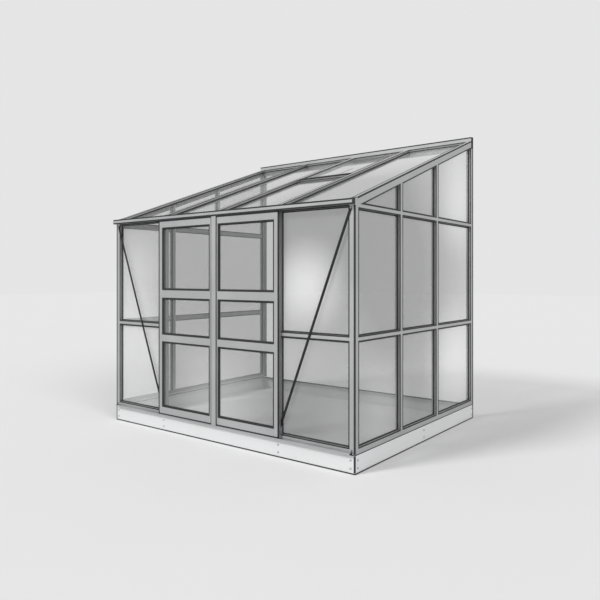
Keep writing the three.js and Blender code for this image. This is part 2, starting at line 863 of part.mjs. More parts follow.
// The vent's hinge line, up the slope and out of it, and the places measured down from it
const hingeLine = onSlope([ridgeFace - hingeSetback, roofSurface(ridgeFace - hingeSetback)])[0];
const ventTop = hingeLine - beadToRail;
const ventFoot = ventTop - ventLength;
const ventLeft = (ventBay - frontBayCount / 2) * bayPitch;
const ventRight = ventLeft + bayPitch;
const ventMiddle = (ventLeft + ventRight) / 2;
const ventHalf = (bayPitch - capWidth) / 2 - ventSideGap;
const ventSillTop = ventFoot + ventSillInset;
const ventSillFoot = ventSillTop - ventSillDepth;
const stayPinY = ventFoot + ventFrameWidth + stayEarLength / 2;
const stayPinZ = -ventRebateDepth - stayKnuckleDrop;

function addRoofGlass() {
  const ridgeCut = behind(ridgeFace - glassGap);
  const frontCut = beforeFront(eavesGlassStart);
  for (let bay = 0; bay < frontBayCount; bay += 1) {
    const left = (bay - frontBayCount / 2) * bayPitch;
    const x0 = bay === 0 ? -halfWidth + cornerCore + glassGap : left + edgeInset;
    const x1 = bay === frontBayCount - 1 ? halfWidth - cornerCore - glassGap : left + bayPitch - edgeInset;
    const top = bay === ventBay ? ventSillTop - ventSillUpstand - glassGap : slopeLength;
    const pane = block(x0, -overrun, -glassBack, x1, top, -glassFace).subtract(ridgeCut).subtract(frontCut);
    addPiece(roof, `roof_glass_${bay + 1}`, pane, clearGlass);
  }
}

// The fixed channel at the ridge, in which the bead along the vent's upper edge turns
function hingeChannel() {
  const inner = beadRadius + runningGap;
  const outer = inner + hingeChannelSkin;
  const first = THREE.MathUtils.degToRad(180 - hingeOpeningFoot);
  const last = THREE.MathUtils.degToRad(180 - hingeOpeningTop + 360);
  const arc = (radius, from, to) =>
    Array.from({ length: channelArcSteps + 1 }, (_, i) => {
      const angle = from + ((to - from) * i) / channelArcSteps;
      return [hingeLine + radius * Math.cos(angle), -beadDrop + radius * Math.sin(angle)];
    });
  const x0 = ventMiddle - ventHalf;
  const x1 = ventMiddle + ventHalf;
  const ring = alongX(arc(outer, first, last).concat(arc(inner, last, first)), x0, x1);
  const footStart = hingeLine + inner + hingeChannelSkin / 2;
  const footUnderside = -beadDrop - hingeFootDepth / 2;
  const footTop = -beadDrop + hingeFootDepth / 2;
  const footOutline = rectangle(footStart, footUnderside, hingeLine + overrun, footTop);
  const foot = alongX(footOutline, x0, x1).subtract(behind(ridgeFace - seatGap));
  return ring.add(foot);
}

function ventFrame() {
  const x0 = ventMiddle - ventHalf;
  const x1 = ventMiddle + ventHalf;
  const outline = rectangle(x0, ventFoot, x1, ventTop);
  const openingAt = (inset) =>
    rectangle(x0 + inset, ventFoot + inset, x1 - inset, ventTop - inset);
  const upper = openingAt(ventFrameWidth - ventRebateWidth);
  const lower = openingAt(ventFrameWidth);
  const ring = alongZ(outline, -ventDepth, -ventRebateDepth, [lower]);
  const upperRing = alongZ(outline, -ventRebateDepth - glassGap, 0, [upper]);
  const armOutline = rectangle(ventTop - skin, -beadDrop - beadArm / 2, hingeLine, -beadDrop + beadArm / 2);
  const bead = alongX(circle(hingeLine, -beadDrop, beadRadius, beadSides), x0, x1);
  const earOuter = stayWidth / 2 + seatGap;
  const ears = [-1, 1].map((end) => {
    const near = ventMiddle + end * earOuter;
    const far = ventMiddle + end * (earOuter + stayEarWidth);
    const earStart = ventFoot + ventFrameWidth - skin;
    const earEnd = stayPinY + stayKnuckleRadius;
    const earUnderside = stayPinZ - stayKnuckleRadius;
    const earOutline = rectangle(earStart, earUnderside, earEnd, -ventRebateDepth - skin);
    return alongX(earOutline, near, far);
  });
  const pin = alongX(
    circle(stayPinY, stayPinZ, stayPinRadius, pinSides),
    ventMiddle - earOuter - stayEarWidth / 2,
    ventMiddle + earOuter + stayEarWidth / 2,
  );
  return joined([ring, upperRing, alongX(armOutline, x0, x1), bead, ...ears, pin]);
}

function addVent() {
  addPiece(roof, 'vent_hinge_channel', hingeChannel(), aluminium);
  addPiece(roof, 'vent_frame', ventFrame(), aluminium);
  const inset = ventFrameWidth - ventRebateWidth + glassGap;
  const glassFoot = -ventRebateDepth + glassGap;
  const pane = block(
    ventMiddle - ventHalf + inset, ventFoot + inset, glassFoot,
    ventMiddle + ventHalf - inset, ventTop - inset, glassFoot + glassThickness,
  );
  addPiece(roof, 'vent_glass', pane, clearGlass);

  const sillEnd = (bayPitch - boltChannelWidth) / 2 - seatGap;
  const sillUnderside = -innerFace - ventSillHeight;
  const sillSection = rectangle(ventSillFoot, sillUnderside, ventSillTop, -innerFace);
  const sillHollowSection = rectangle(
    ventSillFoot + skin, sillUnderside + skin, ventSillTop - skin, -innerFace - skin,
  );
  const upstandEnd = (bayPitch - capWidth) / 2 - seatGap;
  const upstand = block(
    ventMiddle - upstandEnd, ventSillTop - ventSillUpstand, -innerFace - skin / 2,
    ventMiddle + upstandEnd, ventSillTop, -ventDepth - seatGap,
  );
  const sillX0 = ventMiddle - sillEnd;
  const sillX1 = ventMiddle + sillEnd;
  const sill = alongX(sillSection, sillX0, sillX1, [sillHollowSection]).add(upstand);
  addPiece(roof, 'vent_sill', sill, aluminium);

  const pegPlateBack = ventSillTop + seatGap;
  const pegStart = pegPlateBack + pegPlateThickness;
  const pegPlate = block(
    ventMiddle - pegPlateWidth / 2, pegPlateBack, sillUnderside,
    ventMiddle + pegPlateWidth / 2, pegStart, -ventDepth - seatGap,
  );
  const pegOutline = circle(ventMiddle, -pegDrop, pegRadius, pinSides);
  const peg = alongY(pegOutline, pegStart - pegPlateThickness / 2, pegStart + pegLength);
  addPiece(roof, 'stay_peg', pegPlate.add(peg), darkAluminium);
}

// Stay: a flat bar with a row of holes, which hangs from the vent's lower rail and drops over
// the peg on the sill
function addStay() {
  const bore = stayPinRadius + runningGap;
  const x0 = ventMiddle - stayWidth / 2;
  const x1 = ventMiddle + stayWidth / 2;
  const end = stayPinY + stayLength;
  const bar = block(x0, stayPinY, stayPinZ - stayThickness / 2, x1, end, stayPinZ + stayThickness / 2);
  const knuckle = alongX(circle(stayPinY, stayPinZ, stayKnuckleRadius, beadSides), x0, x1);
  const holeSpan = stayLength - 2 * stayEndMargin - stayKnuckleRadius;
  const holes = Array.from({ length: stayHoleCount }, (_, i) => {
    const y = end - stayEndMargin - (i * holeSpan) / stayHoleCount;
    const hole = circle(ventMiddle, y, stayHoleRadius, holeSides);
    return alongZ(hole, stayPinZ - stayThickness, stayPinZ + stayThickness);
  });
  const pinBore = alongX(circle(stayPinY, stayPinZ, bore, beadSides), x0 - overrun, x1 + overrun);
  const stay = bar.add(knuckle).subtract(joined(holes)).subtract(pinBore);
  addPiece(roof, 'vent_stay', stay, aluminium);
}

addBase();
addSills();
addCornerPosts();
addWallPosts();
addGables();
addFront();
addEavesBeam();
addRidgeBeam();
addDoorRails();
addDoors();
addRoofFrame();
addRoofGlass();
addVent();
addStay();

// The origin is under the middle of the greenhouse, on the ground
greenhouse.children.forEach((child) => {
  child.position.y -= (depth - frontReach) / 2;
});

export default greenhouse;
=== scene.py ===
import math

import bmesh
import bpy
import numpy as np
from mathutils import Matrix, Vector


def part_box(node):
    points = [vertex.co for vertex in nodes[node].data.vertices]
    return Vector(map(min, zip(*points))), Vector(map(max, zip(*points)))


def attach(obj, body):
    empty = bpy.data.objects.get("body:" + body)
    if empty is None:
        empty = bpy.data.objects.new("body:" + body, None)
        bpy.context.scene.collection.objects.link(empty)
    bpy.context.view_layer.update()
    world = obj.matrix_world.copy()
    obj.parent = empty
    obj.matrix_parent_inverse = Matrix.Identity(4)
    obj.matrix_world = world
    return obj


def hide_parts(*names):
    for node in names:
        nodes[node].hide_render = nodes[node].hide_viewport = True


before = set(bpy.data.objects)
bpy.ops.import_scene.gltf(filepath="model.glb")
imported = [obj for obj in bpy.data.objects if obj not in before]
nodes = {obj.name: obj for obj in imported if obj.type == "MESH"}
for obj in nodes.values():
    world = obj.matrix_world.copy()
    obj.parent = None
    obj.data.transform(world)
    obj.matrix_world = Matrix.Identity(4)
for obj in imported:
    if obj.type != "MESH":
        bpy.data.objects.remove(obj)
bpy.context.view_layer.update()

# A lean-to greenhouse: pale aluminium bars, black rubber along their edges and grey glass.
# Metres, x along the house wall, y towards it, z up.

print("frame loaded, nodes:", len(nodes))

# What several pieces share, read from the solids
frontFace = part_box("sill_front")[0].y
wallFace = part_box("ridge_beam")[1].y
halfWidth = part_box("base_front")[1].x
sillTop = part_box("sill_front")[1].z
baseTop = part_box("base_front")[1].z
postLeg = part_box("corner_post_right")[1].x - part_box("corner_post_right")[0].x
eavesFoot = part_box("eaves_beam")[0].z
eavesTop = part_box("eaves_beam")[1].z
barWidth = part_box("roof_bar_middle")[1].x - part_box("roof_bar_middle")[0].x
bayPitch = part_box("roof_bar_right")[0].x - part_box("roof_bar_middle")[0].x
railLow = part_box("gable_mid_rail_right")[0].z
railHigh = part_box("gable_mid_rail_right")[1].z
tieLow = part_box("gable_tie_right")[0].z
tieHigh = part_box("gable_tie_right")[1].z
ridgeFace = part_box("ridge_beam")[0].y
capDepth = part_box("gable_mid_rail_right")[1].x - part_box("gable_mid_rail_right")[0].x

# The roof's slope, with the directions up along it and out of it
roof = {"pitch": math.radians(20)}
upSlope = np.array([0, math.cos(roof["pitch"]), math.sin(roof["pitch"])])
outOfRoof = np.array([0, -math.sin(roof["pitch"]), math.cos(roof["pitch"])])


# Height of the roof's outer surface over a place between the front and the wall
def roofSurface(y):
    return eavesTop + (y - frontFace) * math.tan(roof["pitch"])


# A socket of a material, on which sums can be written
class Wire:
    def __init__(self, finish, socket):
        self.finish = finish
        self.socket = socket

    def sum(self, operation, first, second):
        return self.finish.add("ShaderNodeMath", {"operation": operation}, {0: first, 1: second})

    def __add__(self, other):
        return self.sum("ADD", self, other)

    def __radd__(self, other):
        return self.sum("ADD", other, self)

    def __sub__(self, other):
        return self.sum("SUBTRACT", self, other)

    def __rsub__(self, other):
        return self.sum("SUBTRACT", other, self)

    def __mul__(self, other):
        return self.sum("MULTIPLY", self, other)

    def __rmul__(self, other):
        return self.sum("MULTIPLY", other, self)


# A procedural material: add() makes any node from its type, its settings and its inputs
class Finish:
    def __init__(self, name):
        self.material = bpy.data.materials.new(name)
        self.material.use_nodes = True
        self.tree = self.material.node_tree
        self.tree.nodes.clear()

    def add(self, kind, settings=None, inputs=None, output=0):
        node = self.tree.nodes.new(kind)
        for key, value in (settings or {}).items():
            setattr(node, key, value)
        for key, value in (inputs or {}).items():
            socket = node.inputs[key]
            if isinstance(value, Wire):
                self.tree.links.new(value.socket, socket)
            else:
                socket.default_value = value
        return Wire(self, node.outputs[output]) if len(node.outputs) else None

    # A noise on object coordinates, stretched along the given scale
    def noise(self, scale, detail=3.0, turn=(0, 0, 0), stretch=(1, 1, 1)):
        here = self.add("ShaderNodeTexCoord", output=3)
        placed = {"Vector": here, "Rotation": turn, "Scale": stretch}
        placed = self.add("ShaderNodeMapping", None, placed)
        return self.add("ShaderNodeTexNoise", None, {"Vector": placed, "Scale": scale, "Detail": detail})

    def blend(self, factor, first, second):
        return self.add(
            "ShaderNodeMix", {"data_type": "RGBA"}, {0: factor, 6: first, 7: second}, output=2
        )

    def band(self, value, low, high):
        return self.add(
            "ShaderNodeMapRange", {"interpolation_type": "SMOOTHSTEP"}, {0: value, 1: low, 2: high}
        )

    def bump(self, height, strength, distance):
        return self.add(
            "ShaderNodeBump", None, {"Height": height, "Strength": strength, "Distance": distance}
        )

    def done(self, inputs):
        shader = self.add("ShaderNodeBsdfPrincipled", None, inputs)
        self.add("ShaderNodeOutputMaterial", None, {"Surface": shader})
        return self.material


print("materials can be written")


# A colour made darker or paler by a share, as a socket takes it
def shaded(colour, share):
    return [min(1.0, part * share) for part in colour] + [1]


# Aluminium as it leaves the press: fine lines run along each bar, and dull patches lie over them
alloyLook = {
    "colour": (0.485, 0.489, 0.493),
    "darkColour": (0.028, 0.029, 0.031),
    "alongLine": 1.4,
    "acrossLine": 210,
    "darkLineScale": (90, 90, 4),
    "patchScale": 2.6,
    "patchEdges": (0.42, 0.72),
    "lineShare": 0.7,
    "darkShare": 0.84,
    "paleShare": 1.1,
    "metallic": 0.72,
    "roughness": 0.36,
    "lineDepth": 0.0006,
}


def alloy(name, colour, stretch, turn=(0, 0, 0)):
    finish = Finish(name)
    lines = finish.noise(1.0, detail=4.0, turn=turn, stretch=stretch)
    patches = finish.noise(alloyLook["patchScale"], detail=2.0)
    dull = finish.band(patches, *alloyLook["patchEdges"])
    shade = lines * alloyLook["lineShare"] + dull * (1 - alloyLook["lineShare"])
    darker = shaded(colour, alloyLook["darkShare"])
    paler = shaded(colour, alloyLook["paleShare"])
    return finish.done({
        "Base Color": finish.blend(shade, darker, paler),
        "Metallic": alloyLook["metallic"],
        "Roughness": lines * 0.14 + dull * 0.1 + alloyLook["roughness"],
        "Normal": finish.bump(lines, 0.35, alloyLook["lineDepth"]),
    })


# Sprayed paint: a slight orange peel, with splashes of soil towards the ground
paintLook = {
    "colour": (0.76, 0.765, 0.77),
    "soil": (0.36, 0.35, 0.33),
    "soilHeight": 0.05,
    "soilShare": 0.5,
    "roughness": 0.42,
    "peelScale": 420,
    "peelDepth": 0.0004,
}


def sprayed(name):
    finish = Finish(name)
    peel = finish.noise(paintLook["peelScale"], detail=1.0)
    cloud = finish.noise(3.2, detail=4.0)
    place = finish.add("ShaderNodeTexCoord", output=3)
    height = finish.add("ShaderNodeSeparateXYZ", None, {0: place}, output=2)
    reach = paintLook["soilHeight"]
    low = 1 - finish.band(height + cloud * reach, reach * 0.5, reach * 1.6)
    splash = finish.band(finish.noise(90, detail=6.0), 0.5, 0.75) * low
    paint = finish.blend(cloud, shaded(paintLook["colour"], 0.93), shaded(paintLook["colour"], 1))
    return finish.done({
        "Base Color": finish.blend(splash * paintLook["soilShare"], paint, [*paintLook["soil"], 1]),
        "Metallic": 0.0,
        "Roughness": cloud * 0.12 + paintLook["roughness"],
        "Normal": finish.bump(peel, 0.18, paintLook["peelDepth"]),
    })


# Black rubber with a fine grain, a little grey where it has bloomed
rubberLook = {
    "colour": (0.012, 0.012, 0.013),
    "bloomed": (0.042, 0.042, 0.043),
    "roughness": 0.62,
    "grainScale": 900,
    "grainDepth": 0.0002,
}


def rubber(name):
    finish = Finish(name)
    bloom = finish.band(finish.noise(24, detail=4.0), 0.45, 0.8)
    grain = finish.noise(rubberLook["grainScale"], detail=1.0)
    return finish.done({
        "Base Color": finish.blend(bloom * 0.6, [*rubberLook["colour"], 1], [*rubberLook["bloomed"], 1]),
        "Roughness": bloom * 0.15 + rubberLook["roughness"],
        "Normal": finish.bump(grain, 0.3, rubberLook["grainDepth"]),
    })


# Zinc plated steel, with faint crystals
zincLook = {
    "colour": (0.6, 0.61, 0.62),
    "metallic": 0.9,
    "roughness": 0.28,
    "crystalScale": 260,
    "crystalDepth": 0.0002,
}


def zinc(name):
    finish = Finish(name)
    crystal = finish.noise(zincLook["crystalScale"], detail=2.0)
    colour = zincLook["colour"]
    return finish.done({
        "Base Color": finish.blend(crystal, shaded(colour, 0.75), shaded(colour, 1)),
        "Metallic": zincLook["metallic"],
        "Roughness": crystal * 0.2 + zincLook["roughness"],
        "Normal": finish.bump(crystal, 0.2, zincLook["crystalDepth"]),
    })


# Moulded nylon, greyer and rougher where the track rubs it
nylonLook = {
    "colour": (0.78, 0.77, 0.73),
    "roughness": 0.4,
    "wearScale": 150,
    "wearDepth": 0.0002,
}


def nylon(name):
    finish = Finish(name)
    wear = finish.band(finish.noise(nylonLook["wearScale"], detail=3.0), 0.4, 0.7)
    colour = nylonLook["colour"]
    return finish.done({
        "Base Color": finish.blend(wear, shaded(colour, 1), shaded(colour, 0.82)),
        "Roughness": wear * 0.2 + nylonLook["roughness"],
        "Normal": finish.bump(wear, 0.15, nylonLook["wearDepth"]),
    })


# Grey glass under a thin film of dust, with painted highlights (pale places) and painted shade (dark
# places). Each place has a centre, radius and strength.
glassLook = {
    "dull": (0.2, 0.203, 0.203),
    "bright": (0.88, 0.885, 0.885),
    "paintedHighlightAlpha": 0.25,
    "paintedShadeAlpha": 0.45,
    "fixed": {
        "alpha": 0.225,
        # Painted highlights: places where the glass is painted paler and brighter
        "pale": [
            ((0.85, frontFace, 1.23), 0.42, 0.8),
            ((-1.1, frontFace, 0.4), 0.95, 1.5),
            ((-1.05, frontFace, 1.3), 0.7, 0.7),
            ((halfWidth, wallFace - 0.25, 1.95), 0.6, 0.8),
            ((halfWidth, wallFace - 0.3, 0.5), 0.75, 1.1),
            ((halfWidth, frontFace + 0.35, 0.25), 0.6, 0.55),
            ((1.0, ridgeFace - 0.1, 2.5), 0.7, 0.6),
        ],
        # Painted shade: places where the glass is painted darker
        "dark": [
            ((halfWidth, frontFace + 0.65, 1.3), 1.5, 1.2),
            ((0.95, frontFace, 1.9), 0.8, 0.8),
            ((0.95, frontFace + 0.1, 1.85), 1.1, 0.5),
            ((-0.1, 0.0, 2.15), 1.1, 0.45),
            ((0.85, frontFace + 0.5, 1.98), 0.75, 0.5),
        ],
    },
    "leftGable": {
        "alpha": 0.175,
        # A painted highlight on the left gable's glass
        "pale": [((-halfWidth, frontFace + 0.3, 0.9), 1.2, 0.7)],
        "dark": [],
    },
    "doors": {
        "alpha": 0.26,
        # A painted highlight low on the doors' glass
        "pale": [((0.0, frontFace, 0.25), 0.75, 0.75)],
        "dark": [],
    },
}


# How strongly any of the places holds, from 0 to 1; the places are painted highlights and painted shade
# on the glass
def nearPlaces(finish, places):
    here = finish.add("ShaderNodeTexCoord", output=3)
    total = 0.0
    measure = {"operation": "DISTANCE"}
    for centre, radius, strength in places:
        gap = finish.add("ShaderNodeVectorMath", measure, {0: here, 1: centre}, output=1)
        total = total + (1 - finish.band(gap, 0.0, radius)) * strength
    return finish.add("ShaderNodeMath", {"operation": "ADD", "use_clamp": True}, {0: total, 1: 0.0})


def dustyGlassWithPaintedLight(name, look):
    finish = Finish(name)
    # Pale places are painted highlights and dark places are painted shade; the dust and the streaks are
    # real
    pale = nearPlaces(finish, look["pale"])
    dark = nearPlaces(finish, look["dark"]) * (1 - pale)
    dust = finish.noise(7, detail=5.0)
    streaks = finish.noise(1.0, detail=3.0, stretch=(34, 34, 2.5))
    film = dust * 0.5 + streaks * 0.5
    paler = pale * (glassLook["paintedHighlightAlpha"] - look["alpha"])
    darker = dark * (glassLook["paintedShadeAlpha"] - look["alpha"])
    # Painted highlights make the glass brighter and more opaque; painted shade makes it more opaque in
    # its dull colour, so darker
    return finish.done({
        "Base Color": finish.blend(pale, [*glassLook["dull"], 1], [*glassLook["bright"], 1]),
        "Roughness": film * 0.12 + 0.06,
        "Alpha": paler + darker + film * 0.04 + (look["alpha"] - 0.02),
        "Normal": finish.bump(finish.noise(3.0, detail=1.0), 0.05, 0.002),
    })


pale = alloyLook["colour"]
along = alloyLook["alongLine"]
across = alloyLook["acrossLine"]
alongX = alloy("aluminiumAlongTheWall", pale, (along, across, across))
alongY = alloy("aluminiumAcross", pale, (across, along, across))
alongZ = alloy("aluminiumUpright", pale, (across, across, along))
alongSlope = alloy("aluminiumOnTheSlope", pale, (across, along, across), turn=(-roof["pitch"], 0, 0))
braceMetal = alloy("darkBar", alloyLook["darkColour"], alloyLook["darkLineScale"])
basePaint = sprayed("basePaint")
blackRubber = rubber("blackRubber")
boltZinc = zinc("boltZinc")
wheelNylon = nylon("wheelNylon")
# Glass with real dust, painted highlights and painted shade
paneGlass = dustyGlassWithPaintedLight("paneGlass", glassLook["fixed"])
leftGlass = dustyGlassWithPaintedLight("leftGableGlass", glassLook["leftGable"])
doorGlass = dustyGlassWithPaintedLight("doorGlass", glassLook["doors"])

nodeFinishes = [
    (("base_",), basePaint),
    (("brace_", "stay_peg"), braceMetal),
    (("door_glass",), doorGlass),
    (("gable_glass_left",), leftGlass),
    (("_glass", "glass_"), paneGlass),
    (("sill_front", "front_mid_rail", "eaves_beam", "ridge_beam", "door_track", "door_guide"), alongX),
    (("vent_hinge_channel", "vent_sill"), alongX),
    (("sill_", "gable_mid_rail", "gable_tie"), alongY),
    (("corner_post", "wall_post", "door_post", "gable_bar", "_door_frame"), alongZ),
    (("gable_rafter", "roof_bar", "vent_frame", "vent_stay"), alongSlope),
    (("_wheel_",), wheelNylon),
]
for nodeName, node in nodes.items():
    finish = next(look for words, look in nodeFinishes if any(word in nodeName for word in words))
    if len(node.material_slots) == 0:
        node.data.materials.append(finish)
    for materialSlot in node.material_slots:
        materialSlot.material = finish
print("nodes have their finishes")


# Faces of a grid of points, closed round its rows or its columns where asked
def gridFaces(rows, columns, closeRows, closeColumns):
    row, column = np.meshgrid(
        np.arange(rows if closeRows else rows - 1),
        np.arange(columns if closeColumns else columns - 1),
        indexing="ij",
    )
    rowAhead = (row + 1) % rows
    columnAhead = (column + 1) % columns
    corners = [
        row * columns + column,
        row * columns + columnAhead,
        rowAhead * columns + columnAhead,
        rowAhead * columns + column,
    ]
    return np.stack(corners, -1).reshape(-1, 4).tolist()


# Several shells as one list of points and faces
def together(shells):
    starts = np.cumsum([0] + [len(points) for points, faces in shells])
    points = np.concatenate([points for points, faces in shells])
    faces = [[int(start) + i for i in face] for start, shell in zip(starts, shells) for face in shell[1]]
    return points, faces


# A finished piece from its shells: doubles are merged, faces turned outward, and edges kept
# sharp where they bend by more than the given angle
def makePiece(name, shells, body, material, sharpAngle=35):
    points, faces = together(shells)
    mesh = bpy.data.meshes.new(name)
    mesh.from_pydata(points.tolist(), [], faces)
    shape = bmesh.new()
    shape.from_mesh(mesh)
    bmesh.ops.remove_doubles(shape, verts=shape.verts, dist=1e-6)
    bmesh.ops.recalc_face_normals(shape, faces=shape.faces)
    shape.to_mesh(mesh)
    shape.free()
    mesh.shade_smooth()
    mesh.set_sharp_from_angle(angle=math.radians(sharpAngle))
    mesh.materials.append(material)
    piece = bpy.data.objects.new(name, mesh)
    bpy.context.scene.collection.objects.link(piece)
    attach(piece, body)
    return piece


def rubberPiece(name, shells, body="root"):
    return makePiece(name, shells, body, blackRubber)


def zincPiece(name, shells, body="root"):
    return makePiece(name, shells, body, boltZinc)


# A strip round a flat opening. Every point of the profile goes inward from each corner along
# the corner's mitre by its first number, and out along the opening's normal by its second.
def edging(corners, normal, profile, closed=True):
    corners = np.asarray(corners, float)
    profile = np.asarray(profile, float)
    ahead = np.roll(corners, -1, 0) - corners
    ahead /= np.linalg.norm(ahead, axis=1, keepdims=True)
    inward = np.cross(normal, ahead)
    before = np.roll(inward, 1, 0)
    if not closed:
        inward[-1] = inward[-2]
        before[0] = inward[0]
    mitre = (inward + before) / (1 + (inward * before).sum(1, keepdims=True))
    points = (
        corners[:, None]
        + profile[None, :, :1] * mitre[:, None]
        + profile[None, :, 1:] * np.asarray(normal, float)
    ).reshape(-1, 3)
    faces = gridFaces(len(corners), len(profile), closed, True)
    if not closed:
        last = len(points) - len(profile)
        faces += [list(range(len(profile))), list(range(last, len(points)))]
    return points, faces


# A profile carried straight from one point to another, with its two numbers along two directions
def straight(profile, start, end, across, up):
    profile = np.asarray(profile, float)
    ends = np.array([start, end], float)
    section = profile[:, :1] * np.asarray(across, float) + profile[:, 1:] * np.asarray(up, float)
    points = (ends[:, None] + section[None]).reshape(-1, 3)
    count = len(profile)
    faces = gridFaces(2, count, False, True)
    return points, faces + [list(range(count)), list(range(count, 2 * count))]


# Outline of a rectangle with round corners: each corner's centre plus its radius, turned
def roundedOutline(width, height, radius, steps=3):
    angle = (np.arange(4)[:, None] * math.pi / 2 + np.linspace(0, math.pi / 2, steps + 1)).ravel()
    quarter = np.array([[1, 1], [-1, 1], [-1, -1], [1, -1]])
    centre = np.repeat(quarter * [width / 2 - radius, height / 2 - radius], steps + 1, 0)
    return centre + radius * np.stack([np.cos(angle), np.sin(angle)], 1)


# A turned shape at many places: each point of the profile, radius and height, goes round the
# axis by the cosine and sine of an even turn
def turned(profile, places, axis, sides, firstTurn=0.0):
    axis = np.asarray(axis, float) / np.linalg.norm(axis)
    side = np.cross(axis, [0.3, 0.5, 0.81])
    side /= np.linalg.norm(side)
    other = np.cross(axis, side)
    profile = np.asarray(profile, float)
    angle = np.arange(sides) / sides * 2 * math.pi + firstTurn
    ring = np.cos(angle)[:, None] * side + np.sin(angle)[:, None] * other
    shape = (profile[:, 0, None, None] * ring + profile[:, 1, None, None] * axis).reshape(-1, 3)
    faces = gridFaces(len(profile), sides, False, True)
    return [(shape + np.asarray(place, float), faces) for place in places]


print("shape makers ready")


# A place on the roof, from its distance up the slope and its height out of the surface
def onRoof(x, up, out=0.0):
    return np.array([x, frontFace, eavesTop]) + up * upSlope + out * outOfRoof


ventStart = (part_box("vent_frame")[0].y - frontFace) / upSlope[1]

# Black rubber round all that is seen of each pane: a wedge on the glass, and a trim that clasps
# the bar's outer edge, flatter where a brace or a leaf passes close in front.
seal = {
    "foot": 0.009,
    "waist": 0.0075,
    "thick": 0.006,
    "blunt": 0.001,
    "lap": 0.008,
    "turnIn": 0.0028,
    "proud": 0.0008,
    "lowProud": 0.00026,
    "end": 0.0008,
    "gap": 0.0002,
    "barDepth": capDepth,
    "leafDepth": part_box("left_door_glass")[0].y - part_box("right_door_frame")[0].y,
    "ventDepth": 0.0037,
    "rafterLeg": 0.060,
    "leafStile": 0.050,
    "leafLevels": [(0.215, 0.749), (0.820, 1.114), (1.192, 1.700)],
}


# Profile of the wedge: a foot on the glass that narrows over a waist to a blunt top at the bar
def wedge(depth):
    low = seal["gap"] - depth
    edge = seal["gap"]
    top = min(low + seal["thick"], -edge)
    waist = (seal["waist"], (low + top) / 2)
    return [(edge, low), (seal["foot"], low), waist, (edge + seal["blunt"], top), (edge, top)]


# Profile of the clasp: an angle over the bar's edge, lapping its face and turned into the opening
def clasp(depth, proud):
    edge = seal["gap"]
    low = -min(seal["turnIn"], depth / 2)
    under = [(-seal["lap"], edge / 2), (edge, edge / 2), (edge, low)]
    return under + [(proud, low), (proud, proud), (-seal["lap"], proud)]


def paneSeals(outlines, normal, depth, proud=seal["proud"], closed=True):
    profiles = [wedge(depth), clasp(depth, proud)]
    return [edging(outline, normal, profile, closed) for outline in outlines for profile in profiles]


# Corners of upright openings: every span along a wall by every pair of heights
def uprightCorners(spans, levels, place):
    return [
        [place(near, foot), place(far, foot), place(far, top), place(near, top)]
        for near, far in spans
        for foot, top in levels
    ]


def addFrontSeals():
    post = halfWidth - postLeg
    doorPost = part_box("door_post_right")[1].x
    spans = [(-post, -doorPost), (doorPost, post)]
    levels = [(sillTop, railLow), (railHigh, eavesFoot)]
    corners = uprightCorners(spans, levels, lambda x, z: (x, frontFace, z))
    shells = paneSeals(corners, (0, -1, 0), seal["barDepth"], seal["lowProud"])
    rubberPiece("frontSeals", shells)


# Openings along a gable, between its posts and bars
def gableSpans():
    bars = [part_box("gable_bar_right_front"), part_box("gable_bar_right_back")]
    starts = [frontFace + postLeg] + [high.y for low, high in bars]
    ends = [low.y for low, high in bars] + [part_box("wall_post_right")[0].y]
    return list(zip(starts, ends))


# Underside of the rafter's outer leg over a place
def underRafter(y):
    return roofSurface(y) - seal["rafterLeg"] / math.cos(roof["pitch"])


def addGableSeals():
    for name, side in (("Left", -1), ("Right", 1)):
        face = side * halfWidth
        levels = [(sillTop, railLow), (railHigh, tieLow)]
        outlines = uprightCorners(gableSpans(), levels, lambda y, z: (face, y, z))
        meeting = frontFace + (tieHigh - underRafter(frontFace)) / math.tan(roof["pitch"])
        for near, far in gableSpans():
            foot = max(near, meeting)
            peak = [(face, far, underRafter(far)), (face, near, underRafter(near))]
            corners = [(face, foot, tieHigh), (face, far, tieHigh)]
            outlines.append(corners + peak[: 1 if foot > near else 2])
        shells = paneSeals([each[::side] for each in outlines], (side, 0, 0), seal["barDepth"])
        rubberPiece("gableSeals" + name, shells)


# Openings across the roof, between its rafters and bars
def roofSpans():
    bars = [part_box("roof_bar_" + each) for each in ("left", "middle", "right")]
    caps = [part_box("gable_rafter_left"), *bars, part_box("gable_rafter_right")]
    return [(low[1].x, high[0].x) for low, high in zip(caps, caps[1:])]


def addRoofSeals():
    foot = (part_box("roof_bar_middle")[0].y - frontFace) / upSlope[1] + seal["end"]
    lean = seal["barDepth"] * upSlope[2]
    top = (ridgeFace - frontFace - lean) / upSlope[1] - seal["end"]
    ventFoot = ventStart - 3 * seal["end"]
    rows = []
    for bay, (left, right) in enumerate(roofSpans()):
        if bay == 2:
            rows += [[(right, foot), (right, ventFoot)], [(left, ventFoot), (left, foot)]]
        else:
            rows.append([(right, foot), (right, top), (left, top), (left, foot)])
    outlines = [[onRoof(x, up) for x, up in row] for row in rows]
    shells = paneSeals(outlines, outOfRoof, seal["barDepth"], closed=False)
    rubberPiece("roofSeals", shells)


def addDoorSeals():
    low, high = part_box("right_door_frame")
    near = low.x + seal["leafStile"]
    far = high.x - seal["leafStile"]
    for name, span in (("left", (-far, -near)), ("right", (near, far))):
        corners = uprightCorners([span], seal["leafLevels"], lambda x, z: (x, low.y, z))
        shells = paneSeals(corners, (0, -1, 0), seal["leafDepth"])
        rubberPiece(name + "DoorSeals", shells, name + "_door")


